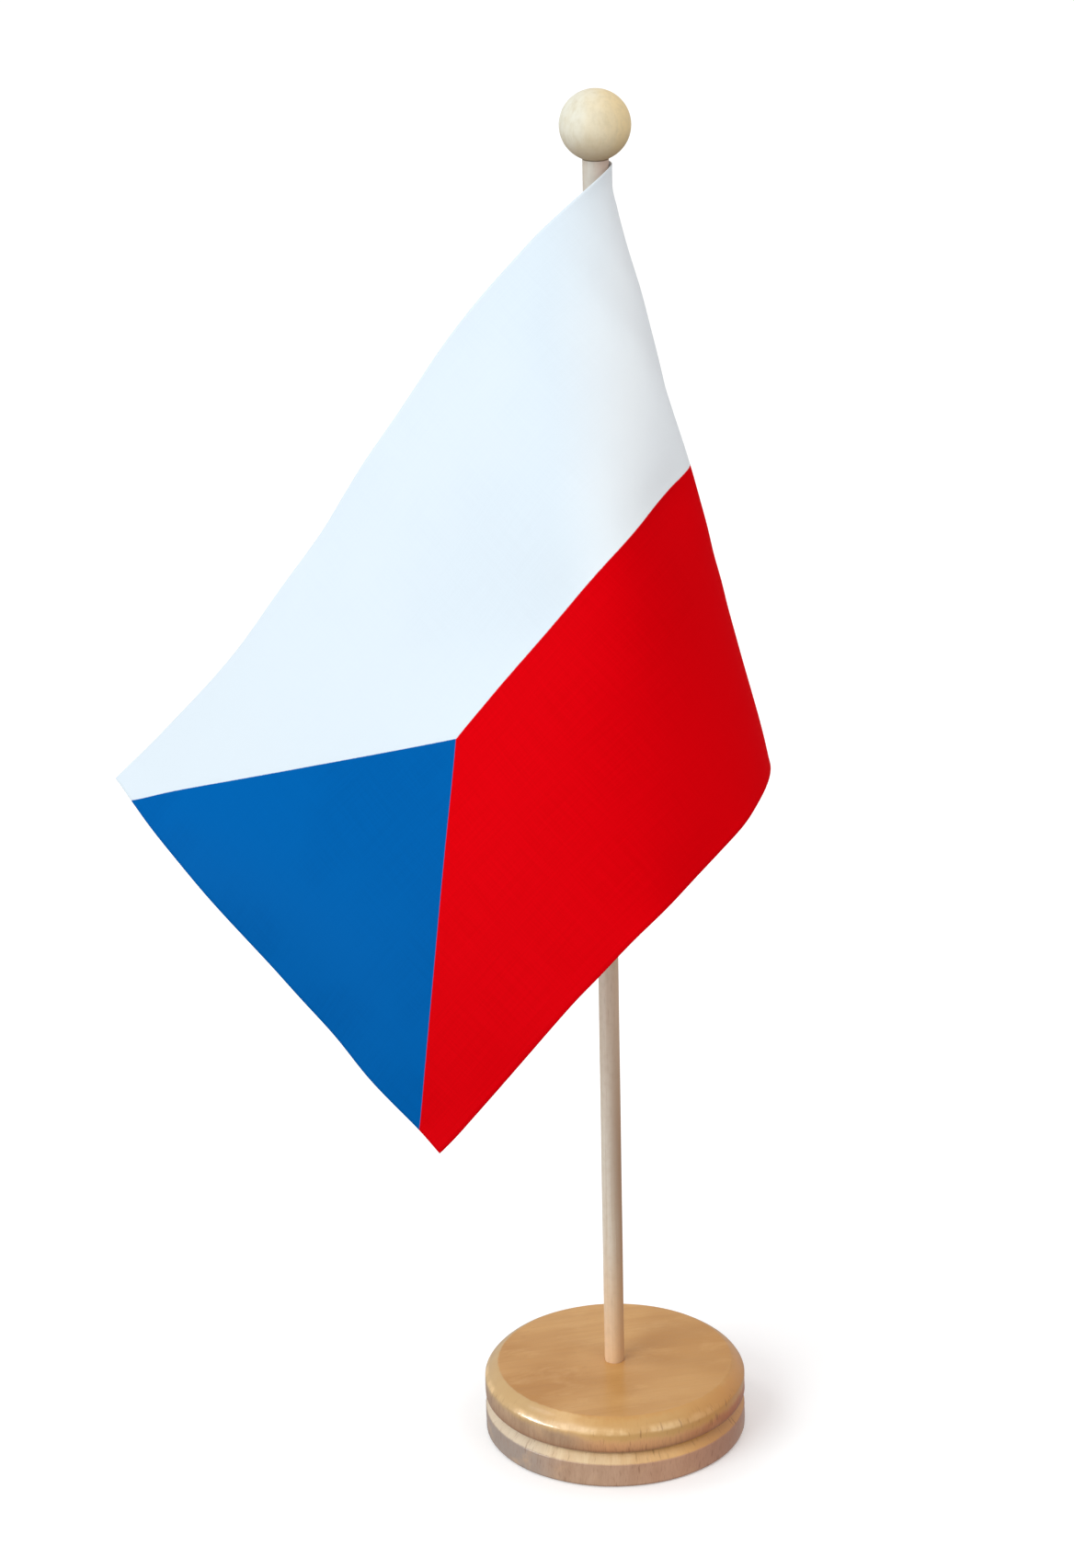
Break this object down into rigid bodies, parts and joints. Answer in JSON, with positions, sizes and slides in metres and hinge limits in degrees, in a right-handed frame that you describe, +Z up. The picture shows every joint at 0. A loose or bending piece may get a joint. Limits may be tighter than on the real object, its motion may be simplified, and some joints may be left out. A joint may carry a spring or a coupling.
{
  "type": "desk flag stand",
  "caption": "Small table flag on a wooden stand: turned round base, push-in dowel pole with ball finial, and a printed cloth flag that hangs from a sleeve and turns on the pole.",
  "frame": {"origin": "centre of the base's underside, where the stand rests on the table; the pole's axis passes through it", "axes": "+Z up along the pole; +X to the right and -Y towards a viewer who sees the flag's hanging face"},
  "size_m": [0.1879, 0.1519, 0.416],
  "materials": {
    "base_wood": "clear lacquered beech, glossy top",
    "pole_wood": "raw matte dowel",
    "collar_wood": "raw matte wood",
    "ball_wood": "raw matte pale wood",
    "sleeve_cloth": "fine woven polyester",
    "flag_print": "fine woven polyester, printed white over red with a blue triangle"
  },
  "bodies": {
    "base": {"base_disc": "base_wood"},
    "pole": {"pole_dowel": "pole_wood", "pole_collar": "collar_wood"},
    "finial": {"finial_ball": "ball_wood"},
    "flag": {"flag_sleeve": "sleeve_cloth", "flag_cloth": "flag_print"}
  },
  "joints": [
    {"name": "pole_pull", "type": "slide", "parent": "base", "child": "pole", "axis": [0, 0, 1], "range_m": [0, 0.014]},
    {"name": "finial_pull", "type": "slide", "parent": "pole", "child": "finial", "axis": [0, 0, 1], "range_m": [0, 0.01]},
    {"name": "flag_swivel", "type": "hinge", "parent": "pole", "child": "flag", "pos_m": [0, 0, 0.3], "axis": [0, 0, 1], "continuous": true}
  ]
}
